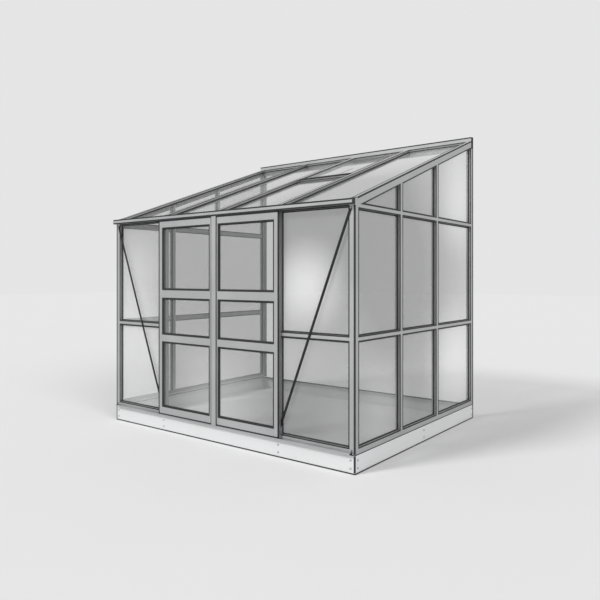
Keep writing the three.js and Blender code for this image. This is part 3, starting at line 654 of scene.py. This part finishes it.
def addVentSeal():
    low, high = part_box("vent_glass")
    foot = (low.y - frontFace - seal["ventDepth"] * upSlope[2]) / upSlope[1]
    top = (high.y - frontFace) / upSlope[1] - seal["ventDepth"]
    corners = [onRoof(low.x, foot), onRoof(high.x, foot), onRoof(high.x, top), onRoof(low.x, top)]
    shells = paneSeals([corners], outOfRoof, seal["ventDepth"])
    rubberPiece("ventSeal", shells, "vent")


addFrontSeals()
addGableSeals()
addRoofSeals()
addDoorSeals()
addVentSeal()
print("seals are in")

# Sizes of the strips round the base and of the mastic beads along the house
strip = {
    "out": 0.0016,
    "jointHeight": 0.0065,
    "groundHeight": 0.009,
    "gap": 0.0003,
    "beadOut": 0.004,
    "beadDeep": 0.009,
    "beadNarrow": 0.001,
    "ridgeBead": 0.006,
}

# Sizes of the door leaves and the vent that their trims and screws follow
leaf = {
    "bottomRail": 0.070,
    "topRail": 0.066,
    "coverReach": 0.030,
    "coverWidth": 0.056,
    "ventLength": 1.0,
}

# Rubber trims that clasp an outer edge
trim = {
    "width": 0.0095,
    "proud": 0.0008,
    "gap": 0.00015,
    "coverWidth": 0.0033,
    "sillWidth": 0.007,
    "endGap": 0.002,
    "roofStart": (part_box("gable_rafter_right")[0].y - frontFace) / upSlope[1] + 0.001,
}


# Profile of a trim: two thin flaps over the faces that meet at the edge, carried straight along it
def edgeTrim(start, end, out, up, width=trim["width"]):
    near = trim["gap"]
    far = trim["proud"]
    profile = [(far, far), (far, -width), (near, -width), (near, near), (-width, near), (-width, far)]
    return straight(profile, start, end, out, up)


def addTrims():
    end = trim["endGap"]
    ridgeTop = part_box("ridge_beam")[1].z
    slopeEnd = (ridgeFace - frontFace) / upSlope[1] - end
    trackLow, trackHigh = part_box("door_track")
    baseFoot = strip["groundHeight"] + end
    baseEnd = baseTop - strip["jointHeight"] - end
    shells = []
    for side in (-1, 1):
        x = side * halfWidth
        out = (side, 0, 0)
        for foot, top in ((baseTop + end, trackLow.z - end), (baseFoot, baseEnd)):
            shells.append(edgeTrim((x, frontFace, foot), (x, frontFace, top), out, (0, -1, 0)))
        shells.append(edgeTrim(onRoof(x, trim["roofStart"]), onRoof(x, slopeEnd), out, outOfRoof))
        shells.append(edgeTrim((x, wallFace, ridgeTop), (x, ridgeFace, ridgeTop), out, (0, 0, 1)))
    for height, up in ((trackLow.z, -1), (trackHigh.z, 1)):
        ends = [(x, trackLow.y, height) for x in (trackLow.x, trackHigh.x)]
        shells.append(edgeTrim(*ends, (0, -1, 0), (0, 0, up)))
    ends = [(x, ridgeFace, ridgeTop) for x in (-halfWidth, halfWidth)]
    shells.append(edgeTrim(*ends, (0, -1, 0), (0, 0, 1)))
    rubberPiece("outerTrims", shells)


def addLeafTrims():
    low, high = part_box("right_door_frame")
    foot = seal["leafLevels"][0][0] - leaf["bottomRail"]
    top = seal["leafLevels"][-1][1] + leaf["topRail"]
    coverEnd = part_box("left_door_frame")[1].x
    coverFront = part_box("left_door_frame")[0].y
    for name, side in (("left", -1), ("right", 1)):
        ends = [(side * high.x, low.y, height) for height in (foot, top)]
        shells = [edgeTrim(*ends, (side, 0, 0), (0, -1, 0))]
        for height, up in ((foot, -1), (top, 1)):
            ends = [(side * x, low.y, height) for x in (low.x + leaf["coverReach"], high.x)]
            shells.append(edgeTrim(*ends, (0, -1, 0), (0, 0, up)))
        if name == "left":
            for x, out in ((coverEnd, 1), (coverEnd - leaf["coverWidth"], -1)):
                ends = [(x, coverFront, height) for height in (foot, top)]
                shells.append(edgeTrim(*ends, (out, 0, 0), (0, -1, 0), trim["coverWidth"]))
        rubberPiece(name + "DoorTrims", shells, name + "_door")


# Along the inner foot of each sill, and along the top of the back base channel
def addInnerTrims():
    end = trim["endGap"]
    width = trim["sillWidth"]
    low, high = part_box("sill_front")
    ends = [(x, high.y, low.z) for x in (low.x + end, high.x - end)]
    shells = [edgeTrim(*ends, (0, 1, 0), (0, 0, -1), width)]
    low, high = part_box("sill_right")
    for side in (-1, 1):
        ends = [(side * low.x, y, low.z) for y in (low.y + end, high.y - end)]
        shells.append(edgeTrim(*ends, (-side, 0, 0), (0, 0, -1), width))
    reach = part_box("wall_post_right")[0].x - end
    low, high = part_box("base_back")
    ends = [(x, low.y, high.z) for x in (-reach, reach)]
    shells.append(edgeTrim(*ends, (0, -1, 0), (0, 0, 1)))
    rubberPiece("innerTrims", shells)


def addVentTrim():
    low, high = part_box("vent_frame")
    end = trim["endGap"]
    shells = [
        edgeTrim(onRoof(low.x, ventStart), onRoof(high.x, ventStart), -upSlope, outOfRoof),
    ]
    for x, side in ((low.x, -1), (high.x, 1)):
        ends = [onRoof(x, ventStart), onRoof(x, ventStart + leaf["ventLength"] - end)]
        shells.append(edgeTrim(*ends, (side, 0, 0), outOfRoof, trim["coverWidth"]))
    rubberPiece("ventTrim", shells, "vent")


addTrims()
addLeafTrims()
addInnerTrims()
addVentTrim()
print("trims are in")

# Rubber on the panes' inner faces, beside each bar's bolt channel and along the posts' cores
inner = {
    "start": 0.0267,
    "deep": 0.0315,
    "width": 0.009,
    "lip": 0.0055,
    "besideChannel": 0.0124,
    "besideCore": 0.0314,
    "endGap": 0.004,
}


# One strip between two points on the outer surface, at a distance from it along "across"
def innerStrip(start, end, across, out, besides):
    profile = [
        (besides, -inner["start"]),
        (besides + inner["width"], -inner["start"]),
        (besides + inner["lip"], -inner["deep"]),
        (besides, -inner["deep"]),
    ]
    return straight(profile, start, end, across, out)


def addInnerSeals():
    channel = inner["besideChannel"]
    core = inner["besideCore"]
    shells = []
    doorPost = (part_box("door_post_right")[0].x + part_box("door_post_right")[1].x) / 2
    for side in (-1, 1):
        for x, across, besides in ((doorPost, side, channel), (halfWidth, -side, core)):
            foot = (side * x, frontFace, sillTop)
            top = (side * x, frontFace, eavesFoot - inner["endGap"])
            shells.append(innerStrip(foot, top, (across, 0, 0), (0, -1, 0), besides))
    rubberPiece("frontInnerSeals", shells)

    for name, side in (("Left", -1), ("Right", 1)):
        rows = [(frontFace, 1, core), (wallFace, -1, core)]
        for bar in ("front", "back"):
            low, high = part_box("gable_bar_right_" + bar)
            middle = (low.y + high.y) / 2
            rows += [(middle, 1, channel), (middle, -1, channel)]
        shells = []
        for y, across, besides in rows:
            height = underRafter(min(y, ridgeFace) if across < 0 else y + besides) - inner["endGap"]
            foot = (side * halfWidth, y, sillTop)
            shells.append(innerStrip(foot, (foot[0], y, height), (0, across, 0), (side, 0, 0), besides))
        rubberPiece("gableInnerSeals" + name, shells)

    foot = (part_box("roof_bar_middle")[0].y - frontFace) / upSlope[1] + inner["deep"]
    top = (ridgeFace - frontFace) / upSlope[1] - inner["deep"]
    ventFoot = (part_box("vent_sill")[0].y - frontFace) / upSlope[1] - inner["endGap"]
    rows = [(-halfWidth, 1, core, top), (halfWidth, -1, core, top)]
    for number in (-1, 0, 1):
        x = number * bayPitch
        rows.append((x, -1, channel, ventFoot if number == 1 else top))
        rows.append((x, 1, channel, ventFoot if number == 0 else top))
    shells = [
        innerStrip(onRoof(x, foot), onRoof(x, end), (across, 0, 0), outOfRoof, besides)
        for x, across, besides, end in rows
    ]
    rubberPiece("roofInnerSeals", shells)


# Strips round the base: one against the ground, one in the joint under the sills
def addBaseStrips():
    left = [(-halfWidth, y, 0) for y in (wallFace, frontFace)]
    right = [(halfWidth, y, 0) for y in (frontFace, wallFace)]
    gap = strip["gap"]
    shells = []
    for low, high in ((gap, strip["groundHeight"]), (baseTop - strip["jointHeight"], baseTop - gap)):
        profile = [(-gap, low), (-strip["out"], low + gap), (-strip["out"], high - gap), (-gap, high)]
        shells.append(edging(left + right, (0, 0, 1), profile, closed=False))
    rubberPiece("baseStrips", shells)


# Mastic where the wall posts and the ridge beam meet the house
def addWallBeads():
    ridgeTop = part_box("ridge_beam")[1].z
    deep = strip["beadDeep"]
    gap = strip["gap"]
    out = strip["beadOut"]
    profile = [(gap, 0), (out, 0), (gap + strip["beadNarrow"], -deep), (gap, -deep)]
    shells = []
    for side in (-1, 1):
        ends = [(side * halfWidth, wallFace, z) for z in (strip["groundHeight"], ridgeTop)]
        shells.append(straight(profile, *ends, (side, 0, 0), (0, 1, 0)))
    height = strip["ridgeBead"]
    profile = [(-deep, gap), (0, gap), (0, height), (-deep * 0.4, height * 0.6)]
    ends = [(side * (halfWidth + out), wallFace, ridgeTop) for side in (-1, 1)]
    shells.append(straight(profile, *ends, (0, 1, 0), (0, 0, 1)))
    rubberPiece("wallBeads", shells)


addInnerSeals()
addBaseStrips()
addWallBeads()
print("inner seals, strips and beads are in")

# Turned nylon wheels with a shallow groove, a web and a hub, in place of the plain ones
wheelLook = {"bore": 0.0032, "hub": 0.0058, "web": 0.0088, "dish": 0.0012, "groove": 0.0011, "sides": 56}


# A node's name as one word for the piece that stands for it
def fullName(name):
    first, *rest = name.split("_")
    return first + "".join(word.capitalize() for word in rest) + "Turned"


# Half of the wheel's profile, from the bore over hub, web and rim to the groove's middle, and the
# same again mirrored across its width
def addWheels():
    bore, hub, web, dish, groove = (wheelLook[key] for key in ("bore", "hub", "web", "dish", "groove"))
    for name in [f"{side}_door_wheel_{end}" for side in ("left", "right") for end in ("outer", "inner")]:
        low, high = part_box(name)
        rim = (high.z - low.z) / 2
        width = high.y - low.y
        half = [(bore, 0), (hub, 0), (hub + dish / 2, dish), (web, dish), (web + dish / 2, 0)]
        half += [(rim - groove / 2, 0), (rim, groove / 2), (rim - groove, width * 0.4)]
        profile = half + [(radius, width - height) for radius, height in half[::-1]] + half[:1]
        centre = ((low.x + high.x) / 2, low.y, (low.z + high.z) / 2)
        shells = turned(profile, [centre], (0, 1, 0), wheelLook["sides"])
        wheel = makePiece(fullName(name), shells, name, wheelNylon)
        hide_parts(name)


# Screws with a domed head and a round recess, and hexagon bolts on washers. Each has its radius
# and height, and its profile as shares of these.
fixing = {
    "screw": (0.0038, 0.0016),
    "button": (0.0055, 0.002),
    "headShape": [(1, 0), (1, 0.35), (0.82, 0.8), (0.45, 1), (0.38, 0.95), (0.34, 0.4), (0, 0.4)],
    "washer": (0.0078, 0.0012),
    "washerShape": [(1, 0), (1, 0.8), (0.95, 1), (0, 1)],
    "hexagon": (0.0062, 0.0042),
    "hexagonShape": [(1, 0), (1, 0.85), (0.86, 1), (0, 1)],
    "headSides": 20,
    "washerSides": 28,
}


def screws(places, axis, kind="screw"):
    profile = np.array(fixing["headShape"]) * fixing[kind]
    return turned(profile, places, axis, fixing["headSides"])


def hexagonBolts(places, axis):
    washer = np.array(fixing["washerShape"]) * fixing["washer"]
    head = np.array(fixing["hexagonShape"]) * fixing["hexagon"] + [0, fixing["washer"][1]]
    return turned(washer, places, axis, fixing["washerSides"]) + turned(head, places, axis, 6)


# The near and far edges of the two bars of a gable
def barsOfGable():
    boxes = [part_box("gable_bar_right_" + bar) for bar in ("front", "back")]
    return [(low.y, high.y) for low, high in boxes]


frameFixing = {
    "fromPostEdge": 0.0152,
    "fromBraceEnd": 0.0095,
    "wallBoltInset": 0.0545,
    "flange": 0.003,
    "wallBoltHeights": (0.35, 0.95, 1.55, 2.15),
}


def addFrameFixings():
    inset = frameFixing["fromPostEdge"]
    fromEnd = frameFixing["fromBraceEnd"]
    tieMiddle = (tieLow + tieHigh) / 2
    railMiddle = (railLow + railHigh) / 2
    doorPost = (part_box("door_post_right")[0].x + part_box("door_post_right")[1].x) / 2
    low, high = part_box("brace_right")
    boltY = wallFace - frameFixing["flange"]
    shells = []
    for side in (-1, 1):
        upper = (side * (high.x - fromEnd), low.y, high.z - fromEnd)
        lower = (side * (low.x + fromEnd), low.y, low.z + fromEnd)
        shells += screws([upper, lower], (0, -1, 0), "button")
        front = [(side * x, frontFace, railMiddle) for x in (doorPost, halfWidth - inset)]
        shells += screws(front, (0, -1, 0))
        columns = [frontFace + inset, wallFace - inset]
        columns += [(near + far) / 2 for near, far in barsOfGable()]
        gable = [(side * halfWidth, y, z) for y in columns for z in (railMiddle, tieMiddle)]
        shells += screws(gable, (side, 0, 0))
        x = side * (halfWidth - frameFixing["wallBoltInset"])
        wall = [(x, boltY, z) for z in frameFixing["wallBoltHeights"]]
        shells += screws(wall, (0, -1, 0), "button")
    zincPiece("frameScrews", shells)


roofFixing = {
    "fromEaves": 0.02,
    "fromRidge": 0.022,
    "rafterInset": 0.0012,
    "ventInset": 0.0118,
    "stayPin": (0.089829, 2.171621),
    "earWidth": 0.0043,
}


def addRoofFixings():
    foot = trim["roofStart"] + roofFixing["fromEaves"]
    top = (ridgeFace - frontFace) / upSlope[1] - roofFixing["fromRidge"]
    columns = [number * bayPitch for number in (-1, 0, 1)]
    columns += [side * (halfWidth - barWidth / 2 - roofFixing["rafterInset"]) for side in (-1, 1)]
    shells = screws([onRoof(x, up) for x in columns for up in (foot, top)], outOfRoof)
    zincPiece("roofScrews", shells)

    low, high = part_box("vent_frame")
    inset = roofFixing["ventInset"]
    rows = (ventStart + inset, ventStart + leaf["ventLength"] - inset)
    corners = [onRoof(x, up) for x in (low.x + inset, high.x - inset) for up in rows]
    shells = screws(corners, outOfRoof)
    low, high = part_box("vent_stay")
    reach = roofFixing["earWidth"]
    for x, side in ((low.x - reach, -1), (high.x + reach, 1)):
        shells += screws([(x, *roofFixing["stayPin"])], (side, 0, 0))
    zincPiece("ventScrews", shells, "vent")


baseFixing = {"inset": 0.034, "rows": (0.038, 0.092), "ridgeRow": 0.022}


def addBaseFixings():
    inset = baseFixing["inset"]
    rows = baseFixing["rows"]
    columns = (inset - halfWidth, -bayPitch, bayPitch, halfWidth - inset)
    shells = hexagonBolts([(x, frontFace, z) for x in columns for z in rows], (0, -1, 0))
    for side in (-1, 1):
        columns = (frontFace + inset, (frontFace + wallFace) / 2, wallFace - inset)
        places = [(side * halfWidth, y, z) for y in columns for z in rows]
        shells += hexagonBolts(places, (side, 0, 0))
    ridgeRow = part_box("ridge_beam")[0].z + baseFixing["ridgeRow"]
    bays = [(number + 0.5) * bayPitch for number in range(-2, 2)]
    shells += hexagonBolts([(x, ridgeFace, ridgeRow) for x in bays], (0, -1, 0))
    zincPiece("hexagonBolts", shells)


# Nuts on the bolt channels, inside, where the bars meet the sills, rails, rafters and eaves
innerNut = {"fromSill": 0.03, "underRafter": 0.03, "underEaves": 0.03, "fromRoofEnd": 0.07}


def addInnerNuts():
    low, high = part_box("gable_bar_right_front")
    levels = [sillTop + innerNut["fromSill"], (railLow + railHigh) / 2, (tieLow + tieHigh) / 2]
    shells = []
    for side in (-1, 1):
        places = []
        for near, far in barsOfGable():
            top = underRafter(near) - innerNut["underRafter"]
            places += [(side * low.x, (near + far) / 2, z) for z in [*levels, top]]
        shells += hexagonBolts(places, (-side, 0, 0))
    low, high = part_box("door_post_right")
    rows = (levels[0], eavesFoot - innerNut["underEaves"])
    places = [(side * (low.x + high.x) / 2, high.y, z) for side in (-1, 1) for z in rows]
    shells += hexagonBolts(places, (0, 1, 0))
    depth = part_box("gable_bar_right_front")[1].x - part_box("gable_bar_right_front")[0].x
    foot = trim["roofStart"] + innerNut["fromRoofEnd"]
    top = (ridgeFace - frontFace) / upSlope[1] - innerNut["fromRoofEnd"]
    rows = (foot, (foot + top) / 2, top)
    places = [onRoof(number * bayPitch, up, -depth) for number in (-1, 0, 1) for up in rows]
    shells += hexagonBolts(places, -outOfRoof)
    zincPiece("innerNuts", shells)


leafFixing = {"lipInset": 0.0095}


def addLeafFixings():
    low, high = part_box("right_door_frame")
    stile = seal["leafStile"]
    levels = seal["leafLevels"]
    heights = [levels[0][0] - leaf["bottomRail"] / 2, levels[-1][1] + leaf["topRail"] / 2]
    heights += [(levels[i][1] + levels[i + 1][0]) / 2 for i in (0, 1)]
    columns = (low.x + stile - leafFixing["lipInset"], high.x - stile / 2)
    for name, side in (("left", -1), ("right", 1)):
        shells = screws([(side * x, low.y, z) for x in columns for z in heights], (0, -1, 0))
        zincPiece(name + "DoorScrews", shells, name + "_door")


# Plastic caps on the open ends of the door track and the guide
endCap = {"thick": 0.0022, "gap": 0.0002, "corner": 0.003, "guideLip": 0.012, "guideBack": 0.005}


def addEndCaps():
    thick = endCap["thick"]
    gap = endCap["gap"]
    low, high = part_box("door_track")
    middle = (low + high) / 2
    plate = roundedOutline(high.y - low.y, high.z - low.z, endCap["corner"])
    guideLow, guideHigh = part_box("door_guide")
    lipTop = guideLow.z + endCap["guideLip"]
    backFront = guideHigh.y - endCap["guideBack"]
    step = [
        (guideLow.y, guideLow.z),
        (guideHigh.y, guideLow.z),
        (guideHigh.y, guideHigh.z),
        (backFront, guideHigh.z),
        (backFront, lipTop),
        (guideLow.y, lipTop),
    ]
    shells = []
    for side in (-1, 1):
        ends = [(side * (high.x + out), middle.y, middle.z) for out in (gap, thick)]
        shells.append(straight(plate, *ends, (0, 1, 0), (0, 0, 1)))
        ends = [(side * (guideHigh.x + out), 0, 0) for out in (gap, thick)]
        shells.append(straight(step, *ends, (0, 1, 0), (0, 0, 1)))
        edge = side * (halfWidth + gap)
        far = edge - side * postLeg
        flat = [(edge, gap), (far, gap), (far, thick), (edge, thick)]
        ends = [onRoof(0, up) for up in (gap, trim["roofStart"] - 2 * gap)]
        shells.append(straight(flat, *ends, (1, 0, 0), outOfRoof))
    half = barWidth / 2
    barStart = (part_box("roof_bar_middle")[0].y - frontFace) / upSlope[1]
    plate = [(-half, gap - capDepth), (half, gap - capDepth), (half, gap * 3), (-half, gap * 3)]
    for number in (-1, 0, 1):
        ends = [onRoof(number * bayPitch, barStart - out) for out in (gap, thick / 2)]
        shells.append(straight(plate, *ends, (1, 0, 0), outOfRoof))
    rubberPiece("endCaps", shells)


addWheels()
addFrameFixings()
addRoofFixings()
addBaseFixings()
addInnerNuts()
addLeafFixings()
addEndCaps()
print("wheels, screws, bolts and caps are in")

# Floor, backdrop, lamps and camera
studio = {
    "background": 0.785,
    "floorColour": 0.78,
    "floorSize": 80.0,
    "worldLight": 0.5,
    "lamps": [
        {"name": "keySun", "from": (-0.35, -0.75, 0.75), "spread": 14, "strength": 1.65},
        {"name": "sideSun", "from": (0.8, -0.3, 0.6), "spread": 30, "strength": 1.0},
    ],
}


def plainGround():
    finish = Finish("plainGround")
    speck = finish.noise(0.8, detail=3.0)
    tone = studio["floorColour"]
    shader = finish.add("ShaderNodeBsdfPrincipled", None, {
        "Base Color": finish.blend(speck, [tone * 0.985] * 3 + [1], [tone] * 3 + [1]),
        "Roughness": 0.9,
        "Specular IOR Level": 0.0,
    })
    finish.add("ShaderNodeOutputMaterial", None, {"Surface": shader})
    return finish.material


def addStage():
    half = studio["floorSize"] / 2
    points = [(-half, -half, 0), (half, -half, 0), (half, half, 0), (-half, half, 0)]
    mesh = bpy.data.meshes.new("floor")
    mesh.from_pydata(points, [], [(0, 1, 2, 3)])
    mesh.materials.append(plainGround())
    floor = bpy.data.objects.new("floor", mesh)
    bpy.context.scene.collection.objects.link(floor)

    world = bpy.data.worlds.new("studioWorld")
    bpy.context.scene.world = world
    world.use_nodes = True
    tree = world.node_tree
    tree.nodes.clear()
    paths = tree.nodes.new("ShaderNodeLightPath")
    seen = tree.nodes.new("ShaderNodeMath")
    seen.operation = "MAXIMUM"
    tree.links.new(paths.outputs["Is Camera Ray"], seen.inputs[0])
    tree.links.new(paths.outputs["Is Glossy Ray"], seen.inputs[1])
    seenThrough = tree.nodes.new("ShaderNodeMath")
    seenThrough.operation = "MAXIMUM"
    tree.links.new(seen.outputs[0], seenThrough.inputs[0])
    tree.links.new(paths.outputs["Is Transmission Ray"], seenThrough.inputs[1])
    strength = tree.nodes.new("ShaderNodeMapRange")
    strength.inputs["To Min"].default_value = studio["worldLight"]
    strength.inputs["To Max"].default_value = studio["background"]
    tree.links.new(seenThrough.outputs[0], strength.inputs["Value"])
    background = tree.nodes.new("ShaderNodeBackground")
    background.inputs["Color"].default_value = (1, 1, 1, 1)
    tree.links.new(strength.outputs[0], background.inputs["Strength"])
    output = tree.nodes.new("ShaderNodeOutputWorld")
    tree.links.new(background.outputs[0], output.inputs["Surface"])

    for lamp in studio["lamps"]:
        data = bpy.data.lights.new(lamp["name"], "SUN")
        data.angle = math.radians(lamp["spread"])
        data.energy = lamp["strength"]
        light = bpy.data.objects.new(lamp["name"], data)
        light.rotation_euler = Vector(lamp["from"]).to_track_quat("Z", "Y").to_euler()
        bpy.context.scene.collection.objects.link(light)


view = {
    "place": (3.370, -4.370, 1.296),
    "heading": 37.64,
    "lens": 36.32,
    "sensor": 36.0,
    "shiftAcross": 0.0091,
    "shiftUp": -0.0387,
}


def addCamera():
    data = bpy.data.cameras.new("camera")
    data.lens = view["lens"]
    data.sensor_width = view["sensor"]
    data.shift_x = view["shiftAcross"]
    data.shift_y = view["shiftUp"]
    camera = bpy.data.objects.new("camera", data)
    camera.location = view["place"]
    camera.rotation_euler = (math.pi / 2, 0, math.radians(view["heading"]))
    bpy.context.scene.collection.objects.link(camera)
    bpy.context.scene.camera = camera


addStage()
addCamera()
bpy.context.scene.view_settings.view_transform = "Standard"
print("stage and camera ready")
